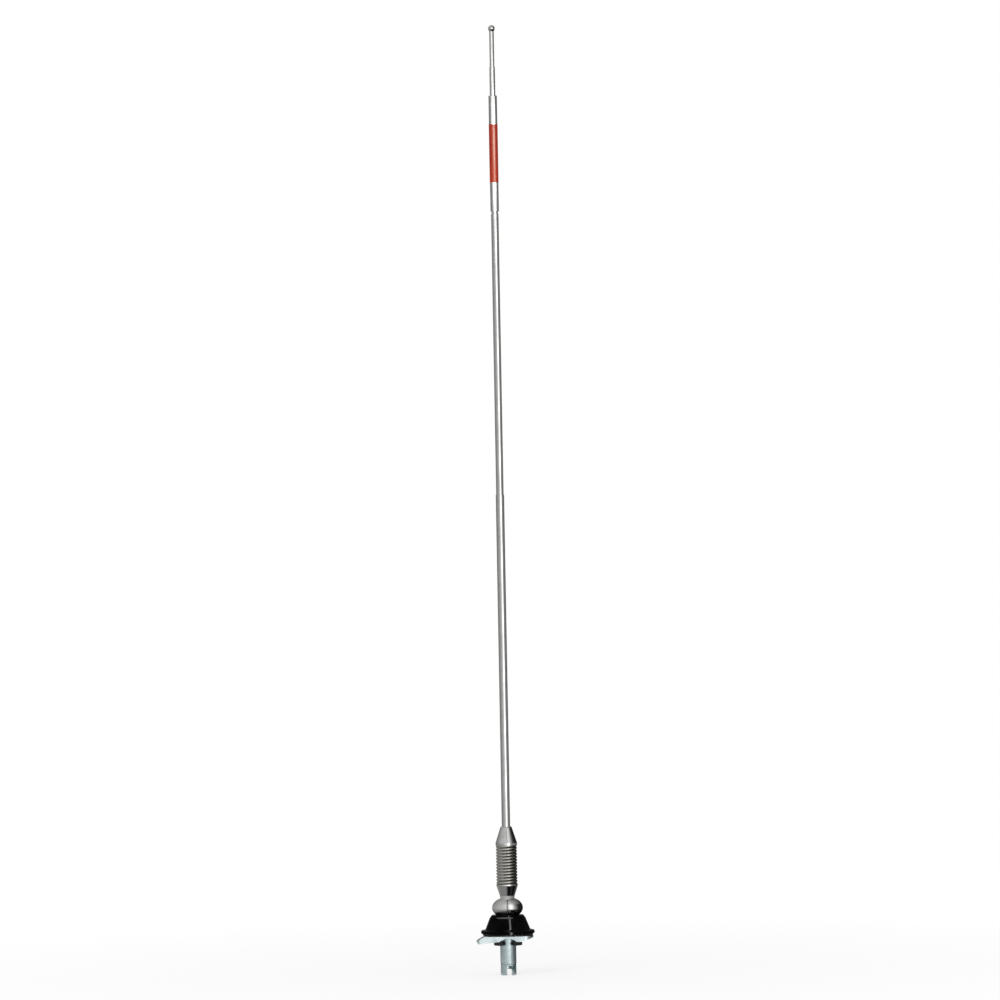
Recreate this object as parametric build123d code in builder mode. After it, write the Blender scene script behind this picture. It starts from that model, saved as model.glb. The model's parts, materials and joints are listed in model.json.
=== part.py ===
# Car mast aerial: a telescopic mast on a coil spring, a split-ball swivel and a panel clamp.
# Millimetres, +Z up the mast, front towards -Y, origin at the centre of the gasket's underside.
import os
from math import cos, radians, sin

from build123d import *

os.makedirs("parts", exist_ok=True)

# Clearances and edges
running_gap = 0.05
face_gap = 0.02
loose_gap = 0.2
edge = 0.4

# Panel base
gasket_d = 37.5
gasket_t = 1.1
flange_d = 40.2
flange_t = 2.8
flange_round = 1.15
cone_foot_d = 34.0
cone_top_d = 26.5
cone_foot_round = 1.8
bezel_floor_t = 3.0
nut_across_flats = 17.0
nut_h = 5.6
collar_wall = 1.4
collar_spigot_h = 3.7
collar_step = 0.45
collar_h = 1.7
collar_land = 0.7
dish_gap = 0.4

# Stud and its bayonet socket
stud_d = 12.0
stud_wall = 1.0
stud_below_panel = 29.9
socket_l = 8.4
socket_step = 0.15
bead_depth = 0.35
bead_h = 0.5
slot_w = 3.5
slot_angle = -83.0
slot_sweep = 50.0
slot_tongue = 1.2
slot_l = 7.2
notch_l = 4.0

# Insulation and contact
bush_flange_d = 15.6
bush_flange_t = 1.4
stem_d = 5.0
stem_l = 18.6
stem_thread_d = 3.5
stem_thread_l = 5.0
contact_d = 7.0
contact_l = 13.0
contact_bore_d = 3.2
contact_bore_l = 6.5
contact_slit = 0.8

# Claw under the panel and its clip
claw_left = 23.6
claw_right = 19.0
claw_w = 18.0
claw_t = 1.5
claw_drop = 4.7
claw_seat_l = 8.0
claw_left_drop = 6.2
claw_tail_l = 7.0
claw_tail_drop = 4.0
claw_round = 0.8
claw_left_round = 3.0
claw_right_round = 7.0
claw_right_taper_l = 8.2
claw_right_edge_h = 1.6
claw_arch_w = 13.2
claw_arch_h = 2.4
clip_d = 21.2
clip_t = 2.8
clip_groove_depth = 0.4
clip_mouth_w = 8.4
clip_round = 0.6

# Swivel ball, split on its middle plane
ball_l = 23.1
ball_d = 15.8
ball_gap = 0.25
ball_seam_round = 0.5
pedestal_d = 10.0
pedestal_h = 1.5
friction_washer_d = 13.8
friction_washer_t = 0.5
screw_d = 4.0
screw_reach = 8.0
screw_head_d = 7.0
screw_slot_w = 1.0
screw_slot_depth = 1.4
spring_washer_d = 7.2
spring_washer_t = 0.6
spring_washer_split = 0.6
counterbore_floor = 6.6

# Spring and its two ferrules
neck_d = 10.6
neck_h = 0.2
neck_spigot_d = 7.0
neck_spigot_l = 5.8
lower_ferrule_h = 9.4
ferrule_ring_h = 0.8
ferrule_ring_d = 11.2
ferrule_rim_h = 0.9
ferrule_rim_d = 16.1
ferrule_grip_l = 3.0
coil_d = 15.8
coil_l = 29.3
coil_turns = 13.0
wire_d = 2.15
upper_rim_h = 1.7
upper_cone_h = 12.2
upper_cone_top_wall = 1.0
upper_cone_round = 1.1
socket_floor_t = 2.0

# Telescopic mast, lowest tube first
mast_d = 6.25
tube_wall = 0.2
lip_in = 0.1
lip_l = 2.0
plug_l = 4.0
lower_tube_l = 248.3
second_tube_l = 210.2
second_tube_overlap = 45.0
second_foot_l = 22.0
third_tube_overlap = 150.0
third_foot_l = 20.0
fourth_tube_l = 21.3
fourth_tube_overlap = 170.0
fourth_foot_l = 18.0
rod_l = 26.7
rod_overlap = 136.0
rod_foot_l = 16.0
rod_spigot_wall = 0.5
foot_wall = 0.6
foot_slit = 0.5

# Banded sleeve on the third tube, and the tip
sleeve_d = 6.3
sleeve_l = 86.7
sleeve_gap = 1.8
sleeve_round = 0.6
band_l = 43.5
band_depth = 0.25
band_proud = 0.15
tip_d = 5.0
tip_neck_d = 4.2
tip_neck_l = 1.0
tip_socket_l = 3.0

# Heights worked out from the sizes above, from the panel upwards
nut_seat = gasket_t + bezel_floor_t
nut_top = nut_seat + nut_h
bezel_top = nut_top + collar_spigot_h
rim_top = bezel_top + collar_h
pedestal_foot = nut_top + bush_flange_t
ball_r = ball_d / 2
ball_half_l = ball_l / 2
ball_z = pedestal_foot + pedestal_h + ball_r
neck_top = ball_z + ball_r + neck_h
coil_bottom = neck_top + lower_ferrule_h
coil_top = coil_bottom + coil_l
ferrule_top = coil_top + upper_rim_h + upper_cone_h
lower_tube_top = ferrule_top + lower_tube_l
second_tube_top = lower_tube_top + second_tube_l
sleeve_bottom = second_tube_top + sleeve_gap
sleeve_top = sleeve_bottom + sleeve_l
fourth_tube_top = sleeve_top + fourth_tube_l
rod_top = fourth_tube_top + rod_l

# Heights under the panel
clip_top = -claw_drop
clip_bottom = clip_top - clip_t
stud_bottom = -stud_below_panel
bead_z = stud_bottom + socket_l
bush_bottom = bead_z + bead_h
stem_shoulder = pedestal_foot - stem_l
contact_bottom = stem_shoulder - contact_l

# Radii worked out from the sizes above
stud_r = stud_d / 2
stud_bore_r = stud_r - stud_wall
socket_r = stud_r - socket_step
clip_groove_r = stud_r - clip_groove_depth
stud_hole_r = stud_r + loose_gap
cone_top_r = cone_top_d / 2
collar_r = cone_top_r - collar_step
collar_spigot_r = cone_top_r - collar_wall
pedestal_r = pedestal_d / 2
screw_r = screw_d / 2
coil_r = coil_d / 2
coil_mean_r = coil_r - wire_d / 2
grip_r = coil_r - wire_d - running_gap
wall_step = tube_wall + lip_in + running_gap
lower_r = mast_d / 2
second_r = lower_r - wall_step
third_r = second_r - wall_step
fourth_r = third_r - wall_step
rod_r = fourth_r - wall_step
seam = friction_washer_t / 2
swivel_axis = Axis((0, 0, ball_z), (1, 0, 0))


def ball_section(first_x, last_x, grow=0.0, round_x=None):
    """Half section of the swivel ball between two x positions, with its rim rounded at one of them."""
    with BuildSketch(Plane.XZ) as section:
        with Locations((0, ball_z)):
            Ellipse(ball_half_l + grow, ball_r + grow)
        with Locations((first_x, ball_z)):
            Rectangle(last_x - first_x, ball_d, align=(Align.MIN, Align.MIN), mode=Mode.INTERSECT)
        if round_x is not None:
            rim = section.vertices().sort_by_distance((round_x, ball_z + ball_r))[0]
            fillet(rim, ball_seam_round)
    return section.sketch


def upright_plane(angle):
    """Plane through the mast's axis whose local x points out at the given angle."""
    turn = radians(angle)
    return Plane(origin=(0, 0, 0), x_dir=(cos(turn), sin(turn), 0), z_dir=(sin(turn), -cos(turn), 0))


def claw_plan(inset):
    """The claw's outline from above, drawn in by the given amount."""
    with BuildSketch() as plan:
        with Locations(((claw_right - claw_left) / 2, 0)):
            Rectangle(claw_left + claw_right - 2 * inset, claw_w - 2 * inset)
        fillet(plan.vertices().group_by(Axis.X)[-1], claw_right_round - inset)
        fillet(plan.vertices().group_by(Axis.X)[0], claw_left_round - inset)
    return plan.sketch


# Rubber gasket between the bezel and the panel
with BuildPart() as gasket:
    with BuildSketch():
        Circle(gasket_d / 2)
        Circle(stud_hole_r, mode=Mode.SUBTRACT)
    extrude(amount=gasket_t)
    fillet(gasket.edges().filter_by(GeomType.CIRCLE).group_by(SortBy.RADIUS)[-1], edge)

# Black bezel, a flanged cone that takes the nut from above
flange_r = flange_d / 2
flange_top = gasket_t + flange_t
with BuildPart() as bezel:
    with BuildSketch(Plane.XZ) as bezel_section:
        with BuildLine():
            Polyline(
                (stud_hole_r, gasket_t),
                (flange_r, gasket_t),
                (flange_r, flange_top),
                (cone_foot_d / 2, flange_top),
                (cone_top_r, bezel_top),
                (collar_spigot_r, bezel_top),
                (collar_spigot_r, nut_top),
                (stud_hole_r, nut_top),
                close=True,
            )
        make_face()
        by_radius = bezel_section.vertices().sort_by(Axis.X)
        fillet(by_radius[-2:], flange_round)
        fillet(bezel_section.vertices().sort_by_distance((cone_foot_d / 2, flange_top))[0], cone_foot_round)
    revolve(axis=Axis.Z)
    with BuildSketch(Plane.XY.offset(nut_seat)):
        RegularPolygon(nut_across_flats / 2, 6, major_radius=False)
    extrude(amount=nut_h, mode=Mode.SUBTRACT)

# Hexagon nut held in the bezel, on the stud's thread
with BuildPart() as bezel_nut:
    with BuildSketch(Plane.XY.offset(nut_seat)):
        RegularPolygon(nut_across_flats / 2, 6, major_radius=False)
        Circle(stud_r, mode=Mode.SUBTRACT)
    extrude(amount=nut_h)

# Collar that closes the bezel and dishes round the ball
with BuildPart() as socket_collar:
    with BuildSketch(Plane.XZ):
        with BuildLine():
            Polyline(
                (bush_flange_d / 2, nut_top),
                (collar_spigot_r, nut_top),
                (collar_spigot_r, bezel_top),
                (collar_r, bezel_top),
                (collar_r, bezel_top + edge),
                (collar_r - collar_h + collar_land, rim_top),
                (pedestal_r, rim_top),
                (pedestal_r, pedestal_foot),
                (bush_flange_d / 2, pedestal_foot),
                close=True,
            )
        make_face()
    revolve(axis=Axis.Z)
    with BuildSketch(Plane.XZ):
        with Locations((0, ball_z)):
            Ellipse(ball_half_l + dish_gap, ball_r + dish_gap)
            Rectangle(ball_l, 2 * ball_d, align=(Align.MIN, Align.CENTER), mode=Mode.INTERSECT)
    revolve(axis=Axis.Z, mode=Mode.SUBTRACT)

# Stud tube with the clip's groove, a rolled bead, a bayonet slot and a notch behind it
with BuildPart() as stud_tube:
    with BuildSketch(Plane.XZ):
        with BuildLine():
            Polyline(
                (stud_bore_r, nut_top),
                (stud_r - edge, nut_top),
                (stud_r, nut_top - edge),
                (stud_r, clip_top),
                (clip_groove_r, clip_top),
                (clip_groove_r, clip_bottom),
                (stud_r, clip_bottom),
                (stud_r, bead_z + bead_h),
                (stud_r - bead_depth, bead_z),
                (socket_r, bead_z - bead_h),
                (socket_r, stud_bottom + edge),
                (socket_r - edge, stud_bottom),
                (stud_bore_r, stud_bottom),
                (stud_bore_r, bead_z - bead_h),
                (stud_bore_r - bead_depth, bead_z),
                (stud_bore_r, bead_z + bead_h),
                close=True,
            )
        make_face()
    revolve(axis=Axis.Z)
    slot_top = stud_bottom + slot_l
    slot_reach = 2 * stud_wall
    slot_mid_r = stud_bore_r + stud_wall / 2
    for angle, length in ((slot_angle, slot_l), (-slot_angle, notch_l)):
        with BuildSketch(Plane.XY.offset(stud_bottom)):
            with PolarLocations(slot_mid_r, 1, start_angle=angle):
                Rectangle(slot_reach, slot_w)
        extrude(amount=length, mode=Mode.SUBTRACT)
    with BuildSketch(upright_plane(slot_angle)):
        with Locations((slot_mid_r, slot_top)):
            Rectangle(slot_reach, slot_w, align=(Align.CENTER, Align.MAX))
    revolve(axis=Axis.Z, revolution_arc=slot_sweep, mode=Mode.SUBTRACT)
    with BuildSketch(Plane.XY.offset(slot_top)):
        with PolarLocations(slot_mid_r, 1, start_angle=slot_angle + slot_sweep):
            Rectangle(slot_reach, slot_w)
    extrude(amount=-(slot_w + slot_tongue), mode=Mode.SUBTRACT)

# Insulating bush in the stud, with a flange under the ball's pedestal
with BuildPart() as insulator_bush:
    with BuildSketch(Plane.XZ):
        with BuildLine():
            Polyline(
                (stem_d / 2, pedestal_foot),
                (bush_flange_d / 2, pedestal_foot),
                (bush_flange_d / 2, nut_top),
                (stud_bore_r, nut_top),
                (stud_bore_r, bush_bottom),
                (contact_d / 2, bush_bottom),
                (contact_d / 2, stem_shoulder),
                (stem_d / 2, stem_shoulder),
                close=True,
            )
        make_face()
    revolve(axis=Axis.Z)

# Brass socket for the lead's centre pin, screwed on the stem
with BuildPart() as centre_contact:
    with BuildSketch(Plane.XZ):
        with BuildLine():
            Polyline(
                (stem_thread_d / 2, stem_shoulder),
                (contact_d / 2, stem_shoulder),
                (contact_d / 2, contact_bottom + edge),
                (contact_d / 2 - edge, contact_bottom),
                (contact_bore_d / 2, contact_bottom),
                (contact_bore_d / 2, contact_bottom + contact_bore_l),
                (0, contact_bottom + contact_bore_l),
                (0, stem_shoulder - stem_thread_l),
                (stem_thread_d / 2, stem_shoulder - stem_thread_l),
                close=True,
            )
        make_face()
    revolve(axis=Axis.Z)
    with BuildSketch(Plane.XY.offset(contact_bottom)):
        Rectangle(contact_d, contact_slit)
    extrude(amount=contact_bore_l, mode=Mode.SUBTRACT)

# Pressed claw, an inverted tray that hooks under the panel
claw_tail_x = -claw_left + claw_tail_l
with BuildPart() as claw_hollow:
    with BuildSketch(Plane.XZ):
        with BuildLine():
            Polyline(
                (-claw_left, -claw_tail_drop - claw_t),
                (claw_tail_x, -claw_t),
                (claw_right, -claw_t),
                (claw_right, -2 * claw_left_drop),
                (-claw_left, -2 * claw_left_drop),
                close=True,
            )
        make_face()
    extrude(amount=claw_w / 2, both=True)
    extrude(claw_plan(claw_t), amount=-2 * claw_left_drop, mode=Mode.INTERSECT)
with BuildPart() as claw:
    with BuildSketch(Plane.XZ):
        with BuildLine():
            Polyline(
                (claw_tail_x, 0),
                (claw_right, 0),
                (claw_right, -claw_right_edge_h),
                (claw_right - claw_right_taper_l, -claw_drop),
                (-claw_seat_l, -claw_drop),
                (-claw_left + claw_t, -claw_left_drop),
                (-claw_left, -claw_tail_drop),
                close=True,
            )
        make_face()
    extrude(amount=claw_w / 2, both=True)
    extrude(claw_plan(0), amount=-claw_left_drop, mode=Mode.INTERSECT)
    top_faces = claw.faces().filter_by(lambda face: face.normal_at().Z > 0.5)
    fillet(top_faces.sort_by(Axis.Z)[-1].edges().filter_by(Axis.Y, reverse=True), claw_round)
    add(claw_hollow.part, mode=Mode.SUBTRACT)
    with BuildSketch():
        Circle(stud_hole_r)
    extrude(amount=-claw_drop, mode=Mode.SUBTRACT)
    arch_foot = claw_arch_w / 2
    with BuildSketch(Plane.XZ):
        with BuildLine():
            ThreePointArc((-arch_foot, -claw_drop), (0, claw_arch_h - claw_drop), (arch_foot, -claw_drop))
            Line((arch_foot, -claw_drop), (-arch_foot, -claw_drop))
        make_face()
    extrude(amount=claw_w, both=True, mode=Mode.SUBTRACT)

# Spring clip in the stud's groove, open to the front
with BuildPart() as claw_clip:
    with BuildSketch(Plane.XY.offset(clip_bottom)) as clip_outline:
        Circle(clip_d / 2)
        Circle(clip_groove_r, mode=Mode.SUBTRACT)
        Rectangle(clip_mouth_w, clip_d, align=(Align.CENTER, Align.MAX), mode=Mode.SUBTRACT)
    extrude(amount=clip_t)
    fillet(claw_clip.edges().filter_by(Axis.Z), clip_round)

# Fixed half of the swivel ball, with its pedestal and stem
base_ball_section = ball_section(seam, ball_half_l, round_x=seam)
base_clear_section = ball_section(-ball_half_l - ball_gap, seam, ball_gap)
with BuildPart() as ball_base_half:
    revolve(base_ball_section, axis=swivel_axis)
    with BuildSketch(Plane.XY.offset(pedestal_foot)):
        Circle(pedestal_r)
    extrude(amount=pedestal_h + ball_r / 2)
    revolve(base_clear_section, axis=swivel_axis, mode=Mode.SUBTRACT)
    with BuildSketch(Plane.XY.offset(pedestal_foot)):
        Circle(stem_d / 2)
    extrude(amount=-stem_l)
    with BuildSketch(Plane.XY.offset(stem_shoulder)):
        Circle(stem_thread_d / 2)
    extrude(amount=-stem_thread_l)
    with BuildSketch(Plane.YZ.offset(seam)):
        with Locations((0, ball_z)):
            Circle(screw_r)
    extrude(amount=screw_reach - seam, mode=Mode.SUBTRACT)

# Friction washer between the two halves
with BuildPart() as friction_washer:
    with BuildSketch(Plane.YZ.offset(-seam)):
        with Locations((0, ball_z)):
            Circle(friction_washer_d / 2)
            Circle(screw_r, mode=Mode.SUBTRACT)
    extrude(amount=friction_washer_t)

# Turning half of the swivel ball, with its neck and spigot
mast_face_x = -seam - face_gap
mast_ball_section = ball_section(-ball_half_l, mast_face_x, round_x=mast_face_x)
mast_clear_section = ball_section(mast_face_x, ball_half_l + ball_gap, ball_gap)
with BuildPart() as ball_mast_half:
    revolve(mast_ball_section, axis=swivel_axis)
    with BuildSketch(Plane.XY.offset(ball_z + ball_r / 2)):
        Circle(neck_d / 2)
    extrude(amount=neck_top - ball_z - ball_r / 2)
    revolve(mast_clear_section, axis=swivel_axis, mode=Mode.SUBTRACT)
    with BuildSketch(Plane.XY.offset(neck_top)):
        Circle(neck_spigot_d / 2)
    extrude(amount=neck_spigot_l)
    with BuildSketch(Plane.YZ.offset(mast_face_x)):
        with Locations((0, ball_z)):
            Circle(screw_r + running_gap)
    extrude(amount=-ball_half_l, mode=Mode.SUBTRACT)
    with BuildSketch(Plane.YZ.offset(-counterbore_floor)):
        with Locations((0, ball_z)):
            Circle(spring_washer_d / 2 + loose_gap)
    extrude(amount=-ball_half_l, mode=Mode.SUBTRACT)

# Spring washer under the swivel screw's head
spring_washer_x = -counterbore_floor - face_gap
with BuildPart() as spring_washer:
    with BuildSketch(Plane.YZ.offset(spring_washer_x)):
        with Locations((0, ball_z)):
            Circle(spring_washer_d / 2)
            Circle(screw_r, mode=Mode.SUBTRACT)
            Rectangle(
                spring_washer_split, spring_washer_d, align=(Align.CENTER, Align.MAX), mode=Mode.SUBTRACT
            )
    extrude(amount=-spring_washer_t)

# Slotted swivel screw, whose domed head completes the ball's turning half
head_x = spring_washer_x - spring_washer_t
with BuildPart() as swivel_screw:
    with BuildSketch(Plane.XZ):
        with Locations((0, ball_z)):
            Ellipse(ball_half_l, ball_r)
        with Locations((head_x, ball_z)):
            Rectangle(ball_half_l, screw_head_d / 2, align=(Align.MAX, Align.MIN), mode=Mode.INTERSECT)
    revolve(axis=swivel_axis)
    with BuildSketch(Plane.YZ.offset(head_x)):
        with Locations((0, ball_z)):
            Circle(screw_r)
    extrude(amount=screw_reach - head_x)
    with BuildSketch(Plane.YZ.offset(-ball_half_l)):
        with Locations((0, ball_z)):
            Rectangle(screw_slot_w, screw_head_d)
    extrude(amount=screw_slot_depth, mode=Mode.SUBTRACT)

# Lower ferrule, which carries the spring
with BuildPart() as lower_ferrule:
    with BuildSketch(Plane.XZ):
        with BuildLine():
            Polyline(
                (neck_spigot_d / 2, neck_top),
                (ferrule_ring_d / 2, neck_top),
                (ferrule_ring_d / 2, neck_top + ferrule_ring_h),
                (ferrule_rim_d / 2, coil_bottom - ferrule_rim_h),
                (ferrule_rim_d / 2, coil_bottom),
                (grip_r, coil_bottom),
                (grip_r, coil_bottom + ferrule_grip_l),
                (0, coil_bottom + ferrule_grip_l),
                (0, neck_top + neck_spigot_l),
                (neck_spigot_d / 2, neck_top + neck_spigot_l),
                close=True,
            )
        make_face()
    revolve(axis=Axis.Z)

# Closed coil spring with ground ends
coil_pitch = coil_l / coil_turns
coil_start = coil_bottom - coil_pitch / 2
with BuildPart() as coil_spring:
    with BuildLine() as coil_path:
        Helix(coil_pitch, coil_l + coil_pitch, coil_mean_r, center=(0, 0, coil_start))
    with BuildSketch(Plane(origin=coil_path.line @ 0, z_dir=coil_path.line % 0)):
        Circle(wire_d / 2)
    sweep(is_frenet=True)
    split(bisect_by=Plane.XY.offset(coil_bottom), keep=Keep.TOP)
    split(bisect_by=Plane.XY.offset(coil_top), keep=Keep.BOTTOM)

# Upper ferrule, a cone with the mast's socket
tube_foot = coil_top + socket_floor_t
cone_shoulder_r = lower_r + upper_cone_top_wall
with BuildPart() as upper_ferrule:
    with BuildSketch(Plane.XZ) as ferrule_section:
        with BuildLine():
            Polyline(
                (0, coil_top - ferrule_grip_l),
                (grip_r, coil_top - ferrule_grip_l),
                (grip_r, coil_top),
                (ferrule_rim_d / 2, coil_top),
                (ferrule_rim_d / 2, coil_top + upper_rim_h),
                (cone_shoulder_r, ferrule_top),
                (lower_r, ferrule_top),
                (lower_r, tube_foot),
                (0, tube_foot),
                close=True,
            )
        make_face()
        shoulder = ferrule_section.vertices().sort_by_distance((cone_shoulder_r, ferrule_top))[0]
        fillet(shoulder, upper_cone_round)
    revolve(axis=Axis.Z)

# Four mast tubes, each with a mouth rolled in round the next one
third_tube_top = sleeve_top - lip_l
second_foot_bottom = lower_tube_top - second_tube_overlap
third_foot_bottom = second_tube_top - third_tube_overlap
fourth_foot_bottom = third_tube_top - fourth_tube_overlap
rod_foot_bottom = fourth_tube_top - rod_overlap
mast_tubes = {
    "lower_tube": (lower_r, tube_foot, lower_tube_top),
    "second_tube": (second_r, second_foot_bottom + second_foot_l, second_tube_top),
    "third_tube": (third_r, third_foot_bottom + third_foot_l, third_tube_top),
    "fourth_tube": (fourth_r, fourth_foot_bottom + fourth_foot_l, fourth_tube_top),
}
for node, (outer_r, bottom, top) in mast_tubes.items():
    bore_r = outer_r - tube_wall
    with BuildPart() as mast_tube:
        with BuildSketch(Plane.XZ):
            with BuildLine():
                Polyline(
                    (bore_r, bottom),
                    (outer_r, bottom),
                    (outer_r, top - tube_wall),
                    (outer_r - lip_in, top),
                    (bore_r - lip_in, top),
                    (bore_r - lip_in, top - lip_l + lip_in),
                    (bore_r, top - lip_l),
                    close=True,
                )
            make_face()
        revolve(axis=Axis.Z)
    mast_tube.part.label = node
    export_step(mast_tube.part, f"parts/{node}.step")

# Split brass feet that guide the sliding tubes and stop them at the rolled mouths
tube_feet = {
    "second_foot": (second_r, lower_r, second_foot_bottom, second_foot_l),
    "third_foot": (third_r, second_r, third_foot_bottom, third_foot_l),
    "fourth_foot": (fourth_r, third_r, fourth_foot_bottom, fourth_foot_l),
}
for node, (own_r, outer_tube_r, bottom, length) in tube_feet.items():
    foot_r = outer_tube_r - tube_wall - running_gap
    plug_r = own_r - tube_wall
    with BuildPart() as tube_foot_piece:
        with BuildSketch(Plane.XZ):
            with BuildLine():
                Polyline(
                    (foot_r - foot_wall, bottom),
                    (foot_r, bottom),
                    (foot_r, bottom + length),
                    (plug_r, bottom + length),
                    (plug_r, bottom + length + plug_l),
                    (0, bottom + length + plug_l),
                    (0, bottom + length - plug_l),
                    (foot_r - foot_wall, bottom + length - plug_l),
                    close=True,
                )
            make_face()
        revolve(axis=Axis.Z)
        with BuildSketch(Plane.XY.offset(bottom)):
            Rectangle(2 * foot_r, foot_slit)
            Rectangle(foot_slit, 2 * foot_r)
        extrude(amount=length - plug_l, mode=Mode.SUBTRACT)
    tube_foot_piece.part.label = node
    export_step(tube_foot_piece.part, f"parts/{node}.step")

# Banded sleeve over the third tube, closed in round the fourth
sleeve_r = sleeve_d / 2
band_bottom = sleeve_bottom + (sleeve_l - band_l) / 2
band_top = band_bottom + band_l
with BuildPart() as band_sleeve:
    with BuildSketch(Plane.XZ) as sleeve_section:
        with BuildLine():
            Polyline(
                (third_r, sleeve_bottom),
                (sleeve_r, sleeve_bottom),
                (sleeve_r, band_bottom),
                (sleeve_r - band_depth, band_bottom),
                (sleeve_r - band_depth, band_top),
                (sleeve_r, band_top),
                (sleeve_r, sleeve_top),
                (fourth_r + running_gap, sleeve_top),
                (fourth_r + running_gap, third_tube_top),
                (third_r, third_tube_top),
                close=True,
            )
        make_face()
        fillet(sleeve_section.vertices().sort_by_distance((sleeve_r, sleeve_top))[0], sleeve_round)
    revolve(axis=Axis.Z)

# Red band in the sleeve's recess
with BuildPart() as red_band:
    with BuildSketch(Plane.XY.offset(band_bottom)):
        Circle(sleeve_r + band_proud)
        Circle(sleeve_r - band_depth, mode=Mode.SUBTRACT)
    extrude(amount=band_l)

# Tip rod with a spigot for its foot
rod_foot_r = fourth_r - tube_wall - running_gap
rod_spigot_r = rod_r - rod_spigot_wall
with BuildPart() as tip_rod:
    with BuildSketch(Plane.XY.offset(rod_foot_bottom)):
        Circle(rod_spigot_r)
    extrude(amount=rod_foot_l)
    with BuildSketch(Plane.XY.offset(rod_foot_bottom + rod_foot_l)):
        Circle(rod_r)
    extrude(amount=rod_top - rod_foot_bottom - rod_foot_l)
    with BuildSketch(Plane.XY.offset(rod_top)):
        Circle(rod_spigot_r)
    extrude(amount=tip_socket_l)

# Brass foot on the rod's spigot
with BuildPart() as rod_foot:
    with BuildSketch(Plane.XY.offset(rod_foot_bottom)):
        Circle(rod_foot_r)
        Circle(rod_spigot_r, mode=Mode.SUBTRACT)
    extrude(amount=rod_foot_l)

# Tip ball on a short tapered neck
tip_r = tip_d / 2
tip_ball_z = rod_top + tip_neck_l + tip_r / 2
with BuildPart() as tip_ball:
    with Locations((0, 0, tip_ball_z)):
        Sphere(tip_r)
    with BuildSketch(Plane.XZ):
        with BuildLine():
            Polyline(
                (0, rod_top),
                (rod_r, rod_top),
                (tip_neck_d / 2, rod_top + tip_neck_l),
                (0, tip_ball_z),
                close=True,
            )
        make_face()
    revolve(axis=Axis.Z)
    split(bisect_by=Plane.XY.offset(rod_top), keep=Keep.TOP)
    with BuildSketch(Plane.XY.offset(rod_top)):
        Circle(rod_spigot_r)
    extrude(amount=tip_socket_l, mode=Mode.SUBTRACT)

# One labelled file for each remaining piece
pieces = {
    "gasket": gasket,
    "bezel": bezel,
    "bezel_nut": bezel_nut,
    "socket_collar": socket_collar,
    "stud_tube": stud_tube,
    "insulator_bush": insulator_bush,
    "centre_contact": centre_contact,
    "claw": claw,
    "claw_clip": claw_clip,
    "ball_base_half": ball_base_half,
    "friction_washer": friction_washer,
    "ball_mast_half": ball_mast_half,
    "spring_washer": spring_washer,
    "swivel_screw": swivel_screw,
    "lower_ferrule": lower_ferrule,
    "coil_spring": coil_spring,
    "upper_ferrule": upper_ferrule,
    "band_sleeve": band_sleeve,
    "red_band": red_band,
    "tip_rod": tip_rod,
    "rod_foot": rod_foot,
    "tip_ball": tip_ball,
}
for node, piece in pieces.items():
    piece.part.label = node
    export_step(piece.part, f"parts/{node}.step")
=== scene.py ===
import json
import math
from types import SimpleNamespace

import bmesh
import bpy
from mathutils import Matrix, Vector


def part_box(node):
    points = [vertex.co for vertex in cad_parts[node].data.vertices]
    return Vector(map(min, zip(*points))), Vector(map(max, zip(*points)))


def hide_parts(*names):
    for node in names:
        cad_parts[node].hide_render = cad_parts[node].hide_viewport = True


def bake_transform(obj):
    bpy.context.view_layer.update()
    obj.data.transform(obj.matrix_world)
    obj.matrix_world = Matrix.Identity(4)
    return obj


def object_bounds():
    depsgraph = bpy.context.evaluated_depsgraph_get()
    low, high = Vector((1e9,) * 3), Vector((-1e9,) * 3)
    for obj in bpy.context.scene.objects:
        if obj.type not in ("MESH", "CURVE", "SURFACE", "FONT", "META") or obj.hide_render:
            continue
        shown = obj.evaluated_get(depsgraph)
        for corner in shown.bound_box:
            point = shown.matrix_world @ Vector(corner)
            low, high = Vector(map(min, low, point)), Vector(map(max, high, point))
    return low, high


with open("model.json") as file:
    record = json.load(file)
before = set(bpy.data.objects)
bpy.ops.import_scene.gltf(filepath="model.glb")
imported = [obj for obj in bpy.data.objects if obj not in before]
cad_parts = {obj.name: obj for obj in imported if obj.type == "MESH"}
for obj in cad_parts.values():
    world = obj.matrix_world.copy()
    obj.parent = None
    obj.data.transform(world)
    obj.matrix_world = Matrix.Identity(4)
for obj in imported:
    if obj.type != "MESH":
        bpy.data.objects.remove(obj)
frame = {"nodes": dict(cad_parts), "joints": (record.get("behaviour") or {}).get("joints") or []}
cad_low, cad_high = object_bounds()
nodes = frame["nodes"]

# Lengths are in metres
MM = 0.001

# Camera: level with the aerial's middle, so that the base shows a little of its top
CAMERA_DISTANCE = 4.5
CAMERA_LEAN_DEG = 1.05
CAMERA_SIGHT = 100.0
FRAME_FILL = 0.95
SENSOR_MM = 36.0

# Coil spring: its ends are ground by a part turn, and the ferrules hold a stretch of it still
WIRE_R = 1.075 * MM
COIL_TURNS = 13.0
GROUND_TURNS = 0.5
RING_POINTS = 20
POINTS_PER_TURN = 72

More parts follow.
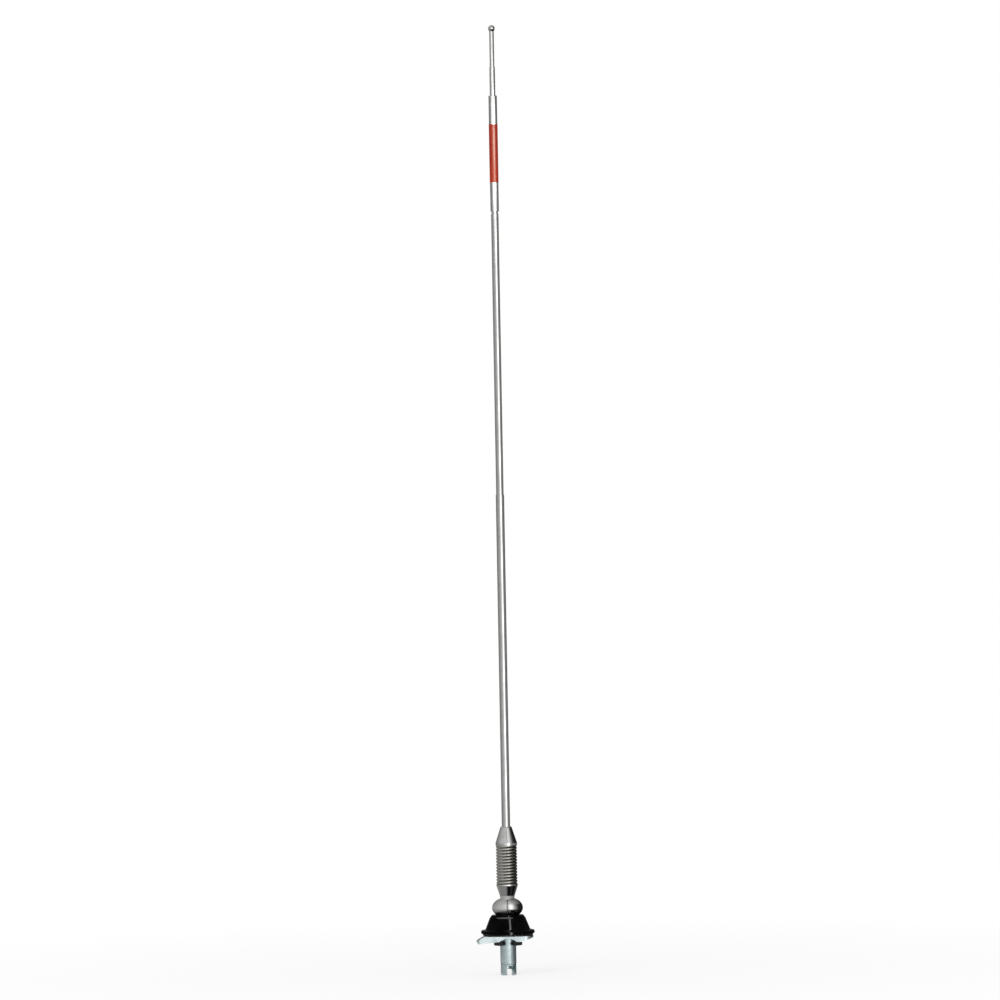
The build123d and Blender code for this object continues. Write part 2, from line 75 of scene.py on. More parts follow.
# Finishes: two colours and two roughnesses each, which a noise goes between
CHROME_COLOURS = ((0.78, 0.79, 0.77), (0.66, 0.67, 0.65))
CHROME_ROUGHNESS = (0.05, 0.12)
SATIN_COLOURS = ((0.82, 0.83, 0.81), (0.70, 0.71, 0.69))
SATIN_ROUGHNESS = (0.26, 0.36)
# For the coil, the first colour is painted shade on the wire's inner side, and the second is the wire's own
WIRE_SHADE_AND_OWN_COLOURS = ((0.12, 0.115, 0.10), (0.64, 0.62, 0.57))
WIRE_ROUGHNESS = (0.13, 0.3)
STUD_COLOURS = ((0.50, 0.61, 0.63), (0.68, 0.78, 0.79))
CLAW_COLOURS = ((0.66, 0.76, 0.78), (0.82, 0.90, 0.91))
ZINC_ROUGHNESS = (0.34, 0.2)
STEEL_COLOURS = ((0.34, 0.35, 0.35), (0.52, 0.53, 0.52))
STEEL_ROUGHNESS = (0.4, 0.28)
BRASS_COLOURS = ((0.50, 0.34, 0.12), (0.72, 0.54, 0.24))
BRASS_ROUGHNESS = (0.36, 0.2)
BLACK_COLOURS = ((0.001, 0.001, 0.0012), (0.003, 0.003, 0.003))
BLACK_ROUGHNESS = (0.06, 0.13)
RUBBER_COLOURS = ((0.010, 0.010, 0.010), (0.022, 0.022, 0.022))
RUBBER_ROUGHNESS = (0.55, 0.75)
CLIP_COLOURS = ((0.008, 0.008, 0.008), (0.022, 0.020, 0.018))
CLIP_ROUGHNESS = (0.3, 0.5)
RED_COLOURS = ((0.31, 0.014, 0.002), (0.39, 0.022, 0.004))
RED_ROUGHNESS = (0.08, 0.14)
NYLON_COLOURS = ((0.66, 0.63, 0.55), (0.74, 0.72, 0.65))
NYLON_ROUGHNESS = (0.42, 0.55)

# What else some finishes need: haze on chrome, painted shade between the coil's turns, and the shine of black
# and red
HAZE_FROM = 0.45
HAZE_TO = 0.75
# Where the painted shade between the coil's turns is full, and where it ends, measured in from the coil's
# outside
PAINTED_SHADE_DEPTH = 1.1 * WIRE_R
UNSHADED_DEPTH = 0.15 * MM
BLACK_IOR = 1.3
RED_SHINE = 0.8
RED_SHINE_TINT = (1.0, 0.84, 0.68, 1.0)

# Studio: room light, floor and lamps, with each lamp's name, place, size and power
WHITE = (1.0, 1.0, 1.0, 1.0)
ROOM_LIGHT = 0.55
FLOOR_R = 6.0
FLOOR_SIDES = 96
FLOOR_COLOUR = (0.9, 0.9, 0.9, 1.0)
FLOOR_ROUGHNESS = 0.9
FLOOR_FADE_FROM = 0.05
FLOOR_FADE_TO = 0.6
FLOOR_WHITE = 0.78
LAMP_TARGET = (0.0, 0.0, 0.3)
LAMPS = (
    ("key", (-1.6, -2.6, 2.2), 1.6, 60.0),
    ("fill", (1.8, -2.0, 0.9), 1.4, 18.0),
)

# Cards that only gloss mirrors; each stop is a bearing in degrees from the camera and a brightness
TENT_R = 2.2
TENT_TOP = 2.4
TENT_HOLE_R = 0.012
TENT_LIFT = 0.0005
TENT_SIDES = 128
TENT_STRENGTH = 6.0
MAST_STOPS = (
    (-180, 0.05), (-168, 0.03), (-152, 0.016), (-124, 0.036), (-84, 0.052), (-46, 0.068),
    (-24, 0.09), (-8, 0.125), (8, 0.165), (17, 0.22), (20, 0.6), (28, 0.6), (32, 0.22),
    (44, 0.105), (60, 0.05), (80, 0.036), (110, 0.03), (128, 0.02), (150, 0.008), (166, 0.02), (179, 0.05),
)
SLEEVE_STOPS = (
    (-180, 0.05), (-160, 0.03), (-104, 0.046), (-66, 0.056), (-44, 0.1), (-26, 0.17), (-10, 0.22),
    (16, 0.22), (30, 0.16), (46, 0.1), (62, 0.056), (82, 0.036), (104, 0.03), (128, 0.024), (150, 0.02),
    (179, 0.05),
)
BAND_STOPS = (
    (-180, 0.13), (-160, 0.02), (-100, 0.03), (-60, 0.06), (-30, 0.3), (-8, 0.9), (6, 2.0),
    (26, 2.0), (40, 0.7), (60, 0.16), (84, 0.04), (128, 0.01), (150, 0.012), (166, 0.05), (179, 0.13),
)
FERRULE_STOPS = (
    (-180, 0.09), (-150, 0.045), (-109, 0.065), (-77, 0.075), (-50, 0.09), (-25, 0.1), (2, 0.115),
    (7, 0.06), (11, 0.06), (15, 0.13), (22, 0.15), (34, 0.15), (40, 0.12), (52, 0.09), (64, 0.045),
    (77, 0.014), (95, 0.005), (179, 0.004),
)
BEZEL_STOPS = (
    (-180, 0.03), (-150, 0.008), (6, 0.006), (10, 0.1), (13, 2.0), (17, 2.0), (20, 0.1), (24, 0.006),
    (150, 0.006), (179, 0.02),
)
RIM_STOPS = (
    (-180, 0.03), (-150, 0.008), (-86, 0.008), (-64, 0.8), (10, 0.9), (20, 1.0), (30, 0.9), (38, 0.008),
    (150, 0.006), (179, 0.02),
)
ROOF_STOPS = ((-180, 0.08), (-90, 0.075), (0, 0.085), (40, 0.07), (90, 0.04), (150, 0.04), (179, 0.08))
NECK_STOPS = (
    (-180, 0.05), (-100, 0.06), (-50, 0.075), (0, 0.085), (26, 0.085), (50, 0.06), (80, 0.045),
    (110, 0.03), (179, 0.02),
)
STUD_STOPS = (
    (-180, 0.1), (-150, 0.06), (-106, 0.08), (-74, 0.09), (-47, 0.1), (-11, 0.14), (0, 0.15),
    (30, 0.15), (60, 0.1), (74, 0.05), (106, 0.025), (150, 0.016), (179, 0.1),
)
CLAW_STOPS = (
    (-180, 0.1), (-150, 0.04), (-106, 0.05), (-60, 0.075), (-20, 0.17), (-8, 0.24), (26, 0.24),
    (34, 0.13), (42, 0.07), (50, 0.035), (60, 0.01), (70, 0.003), (150, 0.003), (179, 0.1),
)
BALL_STOPS = (
    (-180, 0.05), (-150, 0.035), (-109, 0.05), (-77, 0.065), (-50, 0.08), (-25, 0.1), (0, 0.13),
    (14, 0.22), (24, 0.22), (34, 0.13), (42, 0.07), (52, 0.035), (64, 0.01), (76, 0.003), (179, 0.002),
)
DOWN_STOPS = (
    (-180, 0.03), (-150, 0.03), (-80, 0.04), (-16, 0.04), (-3, 0.018), (11, 0.001), (40, 0.001),
    (57, 0.006), (74, 0.001), (150, 0.001), (179, 0.03),
)

# Where each set of stops takes over from the one before, by height up the wall or reach along the table
LOW_WALL_ZONES = (
    (SLEEVE_STOPS, 0.625, 0.655), (BAND_STOPS, 0.664, 0.684), (SLEEVE_STOPS, 0.74, 0.76),
)
HIGH_WALL_ZONES = ((FERRULE_STOPS, 0.86, 0.92), (ROOF_STOPS, 1.95, 2.25))
TABLE_ZONES = ((CLAW_STOPS, 0.31, 0.34), (MAST_STOPS, 0.95, 1.1))

# The same by the slope of the ray, as its sine: up to the walls, and down to the table
RISING_FROM = 0.06
RISING_TO = 0.12
BALL_TOP_FROM = 0.45
BALL_TOP_TO = 0.8
STEEP_ZONES = ((DOWN_STOPS, 0.2, 0.45),)
MAST_STEEP_ZONES = ((NECK_STOPS, 0.2, 0.45),)

# How far past the frame's own heights the light changes, by where a ray sets out, and over what step
RIM_REACH = 0.5 * MM
COLLAR_GAP = 0.1 * MM
NECK_RISE = 5.6 * MM
NECK_RING = 0.8 * MM
MAST_GAP = 0.3 * MM
TIP_GAP = 4.2 * MM
BALL_REACH = 11.6 * MM
START_STEP = 0.2 * MM

# How far a ray sets out from the upright axis where a swung mast gets plain light
SWUNG_FROM = 26.0 * MM
SWUNG_TO = 70.0 * MM

# Coil, from the frame
coil_low, coil_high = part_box("coil_spring")
COIL_BOTTOM = coil_low.z
COIL_TOP = coil_high.z
COIL_R = (coil_high.x - coil_low.x) / 2.0
COIL_MEAN_R = COIL_R - WIRE_R
COIL_PITCH = (COIL_TOP - COIL_BOTTOM) / COIL_TURNS

# Heights where the light changes, from the frame: bezel, the rim on it, ball, its neck and mast
BALL_CENTRE = [joint["pos_m"] for joint in frame["joints"] if joint["name"] == "swivel_tilt"][0]
BEZEL_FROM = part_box("gasket")[0].z
RIM_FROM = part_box("bezel")[1].z - RIM_REACH
RIM_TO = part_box("bezel")[1].z + RIM_REACH
BALL_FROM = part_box("socket_collar")[1].z + COLLAR_GAP
NECK_FROM = BALL_CENTRE[2] + NECK_RISE
NECK_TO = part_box("lower_ferrule")[0].z + NECK_RING
MAST_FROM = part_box("upper_ferrule")[1].z + MAST_GAP
MAST_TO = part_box("tip_ball")[0].z - TIP_GAP

# What counts of a vector when only its level part does
LEVEL = (1.0, 1.0, 0.0)


def new_material(name):
    """A node material with one principled shader, and what is needed to wire it."""
    material = bpy.data.materials.new(name)
    material.use_nodes = True
    tree = material.node_tree
    shader = tree.nodes["Principled BSDF"]
    return material, tree, shader


def add_node(tree, kind, **values):
    """Adds a node and sets its inputs by name, or its own settings where it has no such input."""
    node = tree.nodes.new(kind)
    for key, value in values.items():
        label = key.replace("_", " ").title()
        if label in node.inputs:
            node.inputs[label].default_value = value
        else:
            setattr(node, key, value)
    return node


def object_place(tree):
    """A point's place in the object's own space."""
    return add_node(tree, "ShaderNodeTexCoord").outputs["Object"]


def height_of(tree, vector):
    """The upright part of a vector."""
    parts = add_node(tree, "ShaderNodeSeparateXYZ")
    tree.links.new(vector, parts.inputs["Vector"])
    return parts.outputs["Z"]


def length_of(tree, vector, keep=(1.0, 1.0, 1.0)):
    """The length of a vector, in which each axis counts as much as it is kept."""
    kept = add_node(tree, "ShaderNodeVectorMath", operation="MULTIPLY")
    kept.inputs[1].default_value = keep
    length = add_node(tree, "ShaderNodeVectorMath", operation="LENGTH")
    tree.links.new(vector, kept.inputs[0])
    tree.links.new(kept.outputs["Vector"], length.inputs[0])
    return length.outputs["Value"]


def combined(tree, operation, first, second):
    """Two values made into one by a math operation."""
    node = add_node(tree, "ShaderNodeMath", operation=operation)
    tree.links.new(first, node.inputs[0])
    tree.links.new(second, node.inputs[1])
    return node.outputs["Value"]


def stretched_noise(tree, scale, detail, stretch=(1.0, 1.0, 1.0)):
    """Noise in the object's own space; stretch under 1 draws it out along that axis."""
    mapping = add_node(tree, "ShaderNodeMapping", scale=stretch)
    noise = add_node(tree, "ShaderNodeTexNoise", scale=scale, detail=detail)
    tree.links.new(object_place(tree), mapping.inputs["Vector"])
    tree.links.new(mapping.outputs["Vector"], noise.inputs["Vector"])
    return noise.outputs["Fac"]


def spread(tree, value, low=0.0, high=1.0, from_low=0.3, from_high=0.7):
    """Maps a value to a range, by default from where most of a noise lies."""
    remap = add_node(tree, "ShaderNodeMapRange", clamp=True)
    remap.inputs["From Min"].default_value = from_low
    remap.inputs["From Max"].default_value = from_high
    remap.inputs["To Min"].default_value = low
    remap.inputs["To Max"].default_value = high
    tree.links.new(value, remap.inputs["Value"])
    return remap.outputs["Result"]


def colour_mix(tree, value):
    """A colour mix that follows the value, as its two inputs and its result."""
    mix = add_node(tree, "ShaderNodeMix", data_type="RGBA")
    tree.links.new(value, mix.inputs["Factor"])
    first, second = [socket for socket in mix.inputs if socket.type == "RGBA"]
    result = [socket for socket in mix.outputs if socket.type == "RGBA"][0]
    return first, second, result


def two_colours(tree, value, first_colour, second_colour):
    """A colour that goes from the first to the second with the value."""
    first, second, result = colour_mix(tree, value)
    first.default_value = (*first_colour, 1.0)
    second.default_value = (*second_colour, 1.0)
    return result


def blended(tree, value, first_output, second_output):
    """A colour that goes from one node's output to another's with the value."""
    first, second, result = colour_mix(tree, value)
    tree.links.new(first_output, first)
    tree.links.new(second_output, second)
    return result


def mixed_surface(tree, value, first_shader, second_shader, output):
    """Shows the first shader, and the second as far as the value says."""
    mix = add_node(tree, "ShaderNodeMixShader")
    tree.links.new(value, mix.inputs["Fac"])
    tree.links.new(first_shader.outputs[0], mix.inputs[1])
    tree.links.new(second_shader.outputs[0], mix.inputs[2])
    tree.links.new(mix.outputs["Shader"], tree.nodes[output].inputs["Surface"])


def bump(tree, shader, strength, distance, **noise):
    """Gives the shader a small relief, made by a noise."""
    relief = add_node(tree, "ShaderNodeBump", strength=strength, distance=distance)
    tree.links.new(stretched_noise(tree, **noise), relief.inputs["Height"])
    tree.links.new(relief.outputs["Normal"], shader.inputs["Normal"])


def mottled(name, colours, roughness, metallic=0.0, **noise):
    """A finish whose colour and roughness both follow one noise."""
    material, tree, shader = new_material(name)
    shader.inputs["Metallic"].default_value = metallic
    mottle = stretched_noise(tree, **noise)
    tree.links.new(two_colours(tree, spread(tree, mottle), *colours), shader.inputs["Base Color"])
    tree.links.new(spread(tree, mottle, *roughness), shader.inputs["Roughness"])
    return material, tree, shader


def chrome(name, colours, roughness):
    """Plating with faint smears, fine lengthwise drawing marks and a thin haze."""
    material, tree, shader = new_material(name)
    shader.inputs["Metallic"].default_value = 1.0
    cloud = stretched_noise(tree, scale=240.0, detail=5.0)
    haze = spread(tree, cloud, from_low=HAZE_FROM, from_high=HAZE_TO)
    smears = stretched_noise(tree, scale=55.0, detail=4.0, stretch=(1.0, 1.0, 0.35))
    tree.links.new(two_colours(tree, haze, *colours), shader.inputs["Base Color"])
    tree.links.new(spread(tree, smears, *roughness), shader.inputs["Roughness"])
    bump(tree, shader, strength=0.05, distance=0.02 * MM, scale=2600.0, detail=2.0, stretch=(1.0, 1.0, 0.02))
    return material


def spring_wire():
    """Plated wire that is bright outside, with shade painted dark on its inner side where the turns meet."""
    material, tree, shader = new_material("spring_wire")
    shader.inputs["Metallic"].default_value = 1.0
    radius = length_of(tree, object_place(tree), keep=LEVEL)
    # Painted shade: the wire's colour darkens towards the coil's inside, where the turns meet
    out_of_painted_shade = spread(tree, radius, from_low=COIL_R - PAINTED_SHADE_DEPTH, from_high=COIL_R - UNSHADED_DEPTH)
    wear = stretched_noise(tree, scale=400.0, detail=3.0)
    tree.links.new(two_colours(tree, out_of_painted_shade, *WIRE_SHADE_AND_OWN_COLOURS), shader.inputs["Base Color"])
    tree.links.new(spread(tree, wear, *WIRE_ROUGHNESS), shader.inputs["Roughness"])
    bump(tree, shader, strength=0.08, distance=0.02 * MM, scale=5000.0, detail=2.0)
    return material


def zinc(name, colours):
    """Blue passivated zinc: mottled tint, uneven gloss and a faint pressed grain."""
    material, tree, shader = mottled(name, colours, ZINC_ROUGHNESS, metallic=1.0, scale=170.0, detail=5.0)
    bump(tree, shader, strength=0.12, distance=0.03 * MM, scale=1500.0, detail=3.0)
    return material


def plated_steel():
    """Plain plated steel for the nut and washers."""
    return mottled("plated_steel", STEEL_COLOURS, STEEL_ROUGHNESS, metallic=1.0, scale=300.0, detail=4.0)[0]


def brass():
    """Turned brass with fine rings and a little tarnish."""
    material, tree, shader = mottled(
        "turned_brass", BRASS_COLOURS, BRASS_ROUGHNESS, metallic=1.0, scale=220.0, detail=4.0
    )
    bump(tree, shader, strength=0.1, distance=0.02 * MM, scale=3000.0, detail=2.0, stretch=(0.05, 0.05, 1.0))
    return material


def gloss_black():
    """Glossy black moulding with a slight orange peel and fine handling haze."""
    material, tree, shader = mottled("gloss_black", BLACK_COLOURS, BLACK_ROUGHNESS, scale=120.0, detail=5.0)
    shader.inputs["IOR"].default_value = BLACK_IOR
    bump(tree, shader, strength=0.04, distance=0.04 * MM, scale=700.0, detail=2.0)
    return material


def rubber():
    """Matt black rubber with a fine grain."""
    material, tree, shader = mottled(
        "black_rubber", RUBBER_COLOURS, RUBBER_ROUGHNESS, scale=1800.0, detail=4.0
    )
    bump(tree, shader, strength=0.3, distance=0.05 * MM, scale=1800.0, detail=4.0)
    return material


def black_steel():
    """Oil-blackened spring steel, a little browner where it is rubbed."""
    material, tree, shader = mottled("black_steel", CLIP_COLOURS, CLIP_ROUGHNESS, scale=260.0, detail=4.0)
    bump(tree, shader, strength=0.15, distance=0.03 * MM, scale=1500.0, detail=3.0)
    return material


def red_sleeve():
    """Glossy red tubing, a shade deeper in places, with soft waves along it."""
    material, tree, shader = mottled(
        "red_sleeve", RED_COLOURS, RED_ROUGHNESS, scale=140.0, detail=4.0, stretch=(1.0, 1.0, 0.4)
    )
    shader.inputs["Specular IOR Level"].default_value = RED_SHINE
    shader.inputs["Specular Tint"].default_value = RED_SHINE_TINT
    bump(tree, shader, strength=0.1, distance=0.06 * MM, scale=350.0, detail=2.0, stretch=(1.0, 1.0, 0.5))
    return material


def nylon():
    """Natural nylon, a little cloudy."""
    return mottled("natural_nylon", NYLON_COLOURS, NYLON_ROUGHNESS, scale=200.0, detail=3.0)[0]


def paint(material, *names):
    """Gives the named solids one finish."""
    for name in names:
        for slot in nodes[name].material_slots:
            slot.material = material


def mesh_object(name, mesh):
    """Makes an object of a mesh that is built, and puts it in the scene."""
    data = bpy.data.meshes.new(name)
    mesh.to_mesh(data)
    mesh.free()
    piece = bpy.data.objects.new(name, data)
    bpy.context.scene.collection.objects.link(piece)
    return piece


def skin(mesh, rings):
    """Faces between closed rings of points."""
    for low, high in zip(rings, rings[1:]):
        for k in range(len(low)):
            after = (k + 1) % len(low)
            mesh.faces.new((low[k], low[after], high[after], high[k]))


def helix_points(first_turn, last_turn):
    """Centre line of the coil between two turn counts, measured from its lower end."""
    count = max(2, round((last_turn - first_turn) * POINTS_PER_TURN)) + 1
    points = []
    for i in range(count):
        turn = first_turn + (last_turn - first_turn) * i / (count - 1)
        angle = 2.0 * math.pi * turn
        height = COIL_BOTTOM + COIL_PITCH * turn
        points.append(Vector((COIL_MEAN_R * math.cos(angle), COIL_MEAN_R * math.sin(angle), height)))
    return points


def wire_rings(mesh, points):
    """Rings of points round a centre line, square to it."""
    rings = []
    for i, point in enumerate(points):
        ahead = points[min(i + 1, len(points) - 1)]
        behind = points[max(i - 1, 0)]
        along = (ahead - behind).normalized()
        outward = Vector((point.x, point.y, 0.0)).normalized()
        upward = along.cross(outward).normalized()
        ring = []
        for k in range(RING_POINTS):
            turn = 2.0 * math.pi * k / RING_POINTS
            ring.append(mesh.verts.new(point + WIRE_R * (math.cos(turn) * outward + math.sin(turn) * upward)))
        rings.append(ring)
    return rings


def grind_flat(mesh, height, side):
    """Takes off what lies above a height, or below it for a side of -1, and closes the cut."""
    everything = mesh.verts[:] + mesh.edges[:] + mesh.faces[:]
    cut = bmesh.ops.bisect_plane(
        mesh, geom=everything, plane_co=(0, 0, height), plane_no=(0, 0, side), clear_outer=True
    )
    rim = [item for item in cut["geom_cut"] if isinstance(item, bmesh.types.BMEdge)]
    if rim:
        bmesh.ops.edgenet_fill(mesh, edges=rim)


def coil_part(name, first_turn, last_turn):
    """Round wire along part of the coil, with its ends ground flat on the ferrules."""
    mesh = bmesh.new()
    rings = wire_rings(mesh, helix_points(first_turn, last_turn))
    skin(mesh, rings)
    mesh.faces.new(list(reversed(rings[0])))
    mesh.faces.new(rings[-1])
    grind_flat(mesh, COIL_BOTTOM, -1.0)
    grind_flat(mesh, COIL_TOP, 1.0)
    bmesh.ops.recalc_face_normals(mesh, faces=mesh.faces[:])
    piece = mesh_object(name, mesh)
    for face in piece.data.polygons:
        face.use_smooth = len(face.vertices) == 4
    return piece


def direction_ramp(tree, stops):
    """A grey that depends on the bearing from the axis: 0 faces the camera and 90 is the right."""
    parts = add_node(tree, "ShaderNodeSeparateXYZ")
    front = add_node(tree, "ShaderNodeMath", operation="MULTIPLY")
    front.inputs[1].default_value = -1.0
    tree.links.new(object_place(tree), parts.inputs["Vector"])
    tree.links.new(parts.outputs["Y"], front.inputs[0])
    bearing = combined(tree, "ARCTAN2", parts.outputs["X"], front.outputs["Value"])
    ramp = add_node(tree, "ShaderNodeValToRGB")
    tree.links.new(spread(tree, bearing, from_low=-math.pi, from_high=math.pi), ramp.inputs["Fac"])
    elements = ramp.color_ramp.elements
    while len(elements) > 1:
        elements.remove(elements[-1])
    for i, (degrees, level) in enumerate(stops):
        element = elements[0] if i == 0 else elements.new(0.5 + degrees / 360.0)
        element.color = (level, level, level, 1.0)
    return ramp.outputs["Color"]


def zoned(tree, value, colour, zones):
    """The colour, which gives way to one set of stops after another as the value rises."""
    for stops, first, last in zones:
        change = spread(tree, value, from_low=first, from_high=last)
        colour = blended(tree, change, colour, direction_ramp(tree, stops))
    return colour


def from_here(tree, value, first, before, after):
    """One colour, and another as soon as the value has passed a limit."""
    return blended(tree, spread(tree, value, from_low=first, from_high=first + START_STEP), before, after)


def ray_measures(tree):
    """What the tent's light depends on, measured for each mirrored ray.

    up, reach: how high the ray meets the tent, and how far from the origin
    slope: the sine of the ray's fall, which is negative where it rises
    start, span, swing: how high the ray sets out, how far from the ball's centre and how far from the axis
    """
    ray = add_node(tree, "ShaderNodeNewGeometry")
    path = add_node(tree, "ShaderNodeLightPath")
    way = add_node(tree, "ShaderNodeVectorMath", operation="SCALE")
    source = add_node(tree, "ShaderNodeVectorMath", operation="ADD")
    span = add_node(tree, "ShaderNodeVectorMath", operation="DISTANCE")
    span.inputs[1].default_value = BALL_CENTRE
    tree.links.new(ray.outputs["Incoming"], way.inputs[0])
    tree.links.new(path.outputs["Ray Length"], way.inputs["Scale"])
    tree.links.new(ray.outputs["Position"], source.inputs[0])
    tree.links.new(way.outputs["Vector"], source.inputs[1])
    tree.links.new(source.outputs["Vector"], span.inputs[0])
    place = object_place(tree)
    return SimpleNamespace(
        up=height_of(tree, place),
        reach=length_of(tree, place),
        slope=height_of(tree, ray.outputs["Incoming"]),
        start=height_of(tree, source.outputs["Vector"]),
        span=span.outputs["Value"],
        swing=length_of(tree, source.outputs["Vector"], keep=LEVEL),
    )


def table_light(tree, ray):
    """The table, by its reach, with other stops for a ray that falls on it steeply."""
    flat = zoned(tree, ray.reach, direction_ramp(tree, STUD_STOPS), TABLE_ZONES)
    under = zoned(tree, ray.slope, flat, STEEP_ZONES)
    under_mast = zoned(tree, ray.slope, flat, MAST_STEEP_ZONES)
    from_mast = from_here(tree, ray.start, MAST_TO, under_mast, under)
    return from_here(tree, ray.start, MAST_FROM, under, from_mast)


def wall_light(tree, ray):
    """The walls and the roof, by their height, with the ball's stops for a ray that rises."""
    wall = zoned(tree, ray.up, direction_ramp(tree, MAST_STOPS), LOW_WALL_ZONES)
    rising = spread(tree, ray.slope, 1.0, 0.0, -RISING_TO, -RISING_FROM)
    wall = blended(tree, rising, wall, direction_ramp(tree, BALL_STOPS))
    return zoned(tree, ray.up, wall, HIGH_WALL_ZONES)


def bezel_light(tree, ray):
    """What the bezel mirrors: a narrow bright card, and a broad one on its rim."""
    bezel = direction_ramp(tree, BEZEL_STOPS)
    from_rim = from_here(tree, ray.start, RIM_TO, direction_ramp(tree, RIM_STOPS), bezel)
    return from_here(tree, ray.start, RIM_FROM, bezel, from_rim)


def ball_light(tree, ray, neck, others):
    """What the ball mirrors, with the neck's light on its top and round the neck, and the others' beyond."""
    ball = zoned(tree, ray.slope, direction_ramp(tree, BALL_STOPS), STEEP_ZONES)
    steep = spread(tree, ray.slope, 1.0, 0.0, -BALL_TOP_TO, -BALL_TOP_FROM)
    ball = blended(tree, steep, ball, neck)
    from_neck = from_here(tree, ray.start, NECK_TO, neck, others)
    ball = from_here(tree, ray.start, NECK_FROM, ball, from_neck)
    return from_here(tree, ray.span, BALL_REACH, ball, others)


def tent_light(tree, table):
    """The tent's brightness, by where a ray meets it, how it slopes and what it sets out from."""
    ray = ray_measures(tree)
    neck = direction_ramp(tree, NECK_STOPS)
    off_table = spread(tree, ray.up, from_low=table, from_high=table + TENT_LIFT)
    others = blended(tree, off_table, table_light(tree, ray), wall_light(tree, ray))
    light = from_here(tree, ray.start, BEZEL_FROM, others, bezel_light(tree, ray))
    light = from_here(tree, ray.start, BALL_FROM, light, ball_light(tree, ray, neck, others))
    swung = spread(tree, ray.swing, from_low=SWUNG_FROM, from_high=SWUNG_TO)
    return blended(tree, swung, light, zoned(tree, ray.slope, neck, STEEP_ZONES))


def ring_points(radius, height, count):
    """Points round the axis at one height."""
    points = []
    for k in range(count):
        bearing = 2.0 * math.pi * k / count
        points.append((radius * math.sin(bearing), -radius * math.cos(bearing), height))
    return points


def only_in_gloss(card):
    """Hides a card from all but the object's mirror surfaces."""
    card.visible_camera = False
    card.visible_diffuse = False
    card.visible_shadow = False


def studio_tent(height):
    """Table, walls and roof round the object, each zone as bright as what mirrors it needs."""
    table = height + TENT_LIFT
    profile = ((TENT_HOLE_R, table), (TENT_R, table), (TENT_R, TENT_TOP), (TENT_HOLE_R, TENT_TOP))
    circles = [ring_points(radius, z, TENT_SIDES) for radius, z in profile]
    mesh = bmesh.new()
    skin(mesh, [[mesh.verts.new(point) for point in circle] for circle in circles])
    tent = mesh_object("studio_tent", mesh)
    material, tree, shader = new_material("studio_cards")
    tree.nodes.remove(shader)
    glow = add_node(tree, "ShaderNodeEmission", strength=TENT_STRENGTH)
    tree.links.new(tent_light(tree, table), glow.inputs["Color"])
    tree.links.new(glow.outputs["Emission"], tree.nodes["Material Output"].inputs["Surface"])
    tent.data.materials.append(material)
    only_in_gloss(tent)


def world_light():
    """White to the camera and in reflections, and a plain soft light on everything else."""
    world = bpy.data.worlds.new("studio")
    bpy.context.scene.world = world
    world.use_nodes = True
    tree = world.node_tree
    soft = tree.nodes["Background"]
    soft.inputs["Color"].default_value = WHITE
    soft.inputs["Strength"].default_value = ROOM_LIGHT
    white = add_node(tree, "ShaderNodeBackground", color=WHITE, strength=1.0)
    path = add_node(tree, "ShaderNodeLightPath")
    seen = combined(tree, "MAXIMUM", path.outputs["Is Camera Ray"], path.outputs["Is Glossy Ray"])
    seen = combined(tree, "MAXIMUM", seen, path.outputs["Is Transmission Ray"])
    mixed_surface(tree, seen, soft, white, "World Output")


def area_light(name, place, size, power):
    """A soft square lamp that points at the target and stays out of the mirrored studio."""
    light = bpy.data.lights.new(name, "AREA")
    light.shape = "SQUARE"
    light.size = size
    light.energy = power
    lamp = bpy.data.objects.new(name, light)
    lamp.location = place
    lamp.rotation_euler = (Vector(LAMP_TARGET) - Vector(place)).to_track_quat("-Z", "Y").to_euler()
    lamp.visible_glossy = False
    bpy.context.scene.collection.objects.link(lamp)


def floor(height):
    """Pale round floor that keeps the shadow near the object and fades into the white further out."""
    mesh = bmesh.new()
    bmesh.ops.create_circle(mesh, cap_ends=True, segments=FLOOR_SIDES, radius=FLOOR_R)
    plane = mesh_object("floor", mesh)
    plane.location.z = height
    material, tree, shader = new_material("pale_floor")
    shader.inputs["Base Color"].default_value = FLOOR_COLOUR
    shader.inputs["Roughness"].default_value = FLOOR_ROUGHNESS
    shader.inputs["Specular IOR Level"].default_value = 0.0
    distance = length_of(tree, object_place(tree))
    fade = spread(tree, distance, FLOOR_WHITE, 1.0, FLOOR_FADE_FROM, FLOOR_FADE_TO)
    path = add_node(tree, "ShaderNodeLightPath")
    seen = combined(tree, "MULTIPLY", fade, path.outputs["Is Camera Ray"])
    white = add_node(tree, "ShaderNodeEmission", color=WHITE, strength=1.0)
    mixed_surface(tree, seen, shader, white, "Material Output")
    plane.data.materials.append(material)


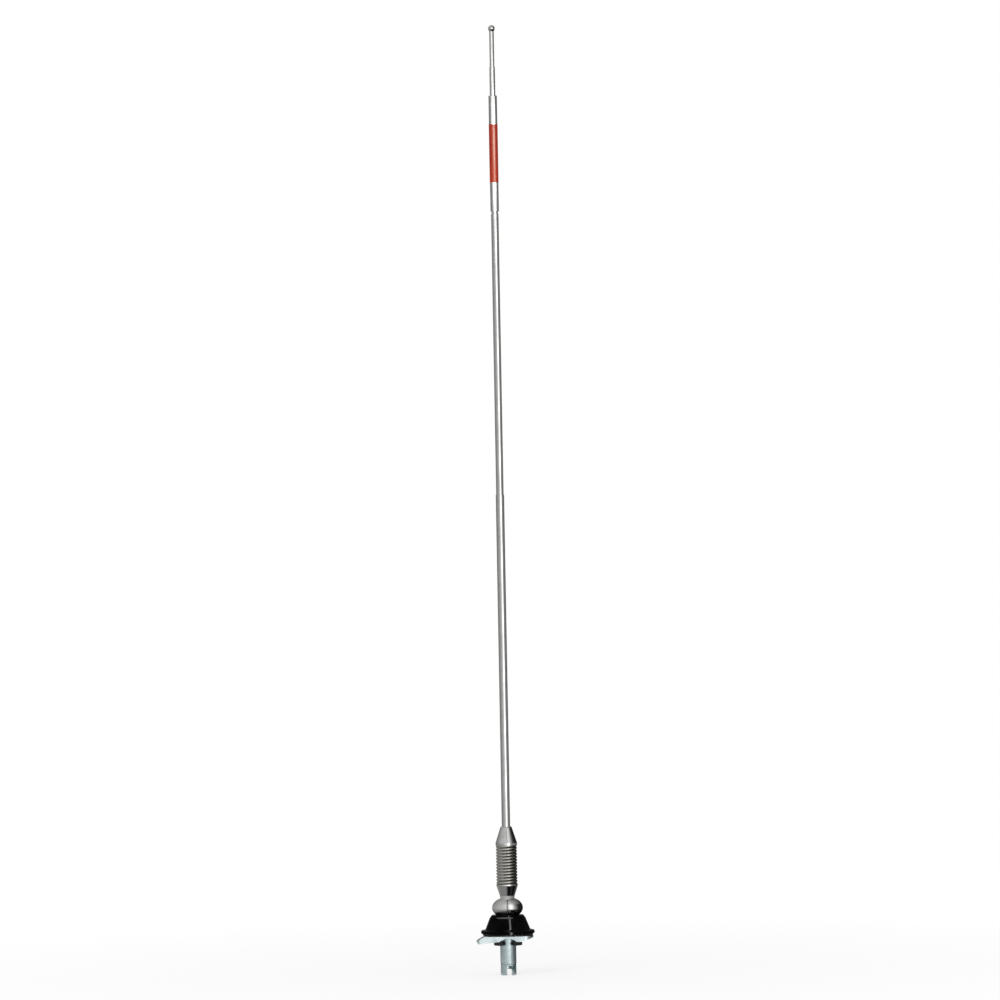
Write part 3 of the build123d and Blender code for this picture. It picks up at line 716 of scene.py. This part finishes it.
def camera():
    """A long lens at the photo's angle, rolled by the lean that the mast has there."""
    middle = (cad_low + cad_high) / 2.0
    height = cad_high.z - cad_low.z
    lens = bpy.data.cameras.new("camera")
    lens.sensor_width = SENSOR_MM
    lens.lens = SENSOR_MM * CAMERA_DISTANCE * FRAME_FILL / height
    lens.clip_end = CAMERA_SIGHT
    eye = bpy.data.objects.new("camera", lens)
    eye.location = (0.0, -CAMERA_DISTANCE, middle.z)
    eye.rotation_euler = (math.pi / 2.0, math.radians(CAMERA_LEAN_DEG), 0.0)
    bpy.context.scene.collection.objects.link(eye)
    bpy.context.scene.camera = eye


# Finishes of the solids
bright_chrome = chrome("bright_chrome", CHROME_COLOURS, CHROME_ROUGHNESS)
paint(bright_chrome, "ball_base_half", "swivel_screw", "lower_ferrule", "upper_ferrule")
paint(bright_chrome, "lower_tube", "second_tube", "third_tube", "fourth_tube", "tip_rod", "tip_ball")
paint(bright_chrome, "band_sleeve")
paint(chrome("satin_chrome", SATIN_COLOURS, SATIN_ROUGHNESS), "ball_mast_half")
paint(zinc("stud_zinc", STUD_COLOURS), "stud_tube")
paint(zinc("claw_zinc", CLAW_COLOURS), "claw")
paint(plated_steel(), "bezel_nut", "spring_washer", "friction_washer")
paint(brass(), "centre_contact", "second_foot", "third_foot", "fourth_foot", "rod_foot")
paint(gloss_black(), "bezel", "socket_collar")
paint(rubber(), "gasket")
paint(black_steel(), "claw_clip")
paint(red_sleeve(), "red_band")
paint(nylon(), "insulator_bush")

# Coil in two halves, which take the solid coil's place
wire_finish = spring_wire()
half_turns = COIL_TURNS / 2.0
lower_coil = coil_part("coil_lower_half", -GROUND_TURNS, half_turns)
upper_coil = coil_part("coil_upper_half", half_turns, COIL_TURNS + GROUND_TURNS)
for piece in (lower_coil, upper_coil):
    piece.data.materials.append(wire_finish)
    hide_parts("coil_spring")
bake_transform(lower_coil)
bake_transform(upper_coil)

# Studio and camera
world_light()
for name, place, size, power in LAMPS:
    area_light(name, place, size, power)
floor(cad_low.z)
studio_tent(cad_low.z)
camera()

view = bpy.context.scene.view_settings
view.view_transform = "Standard"
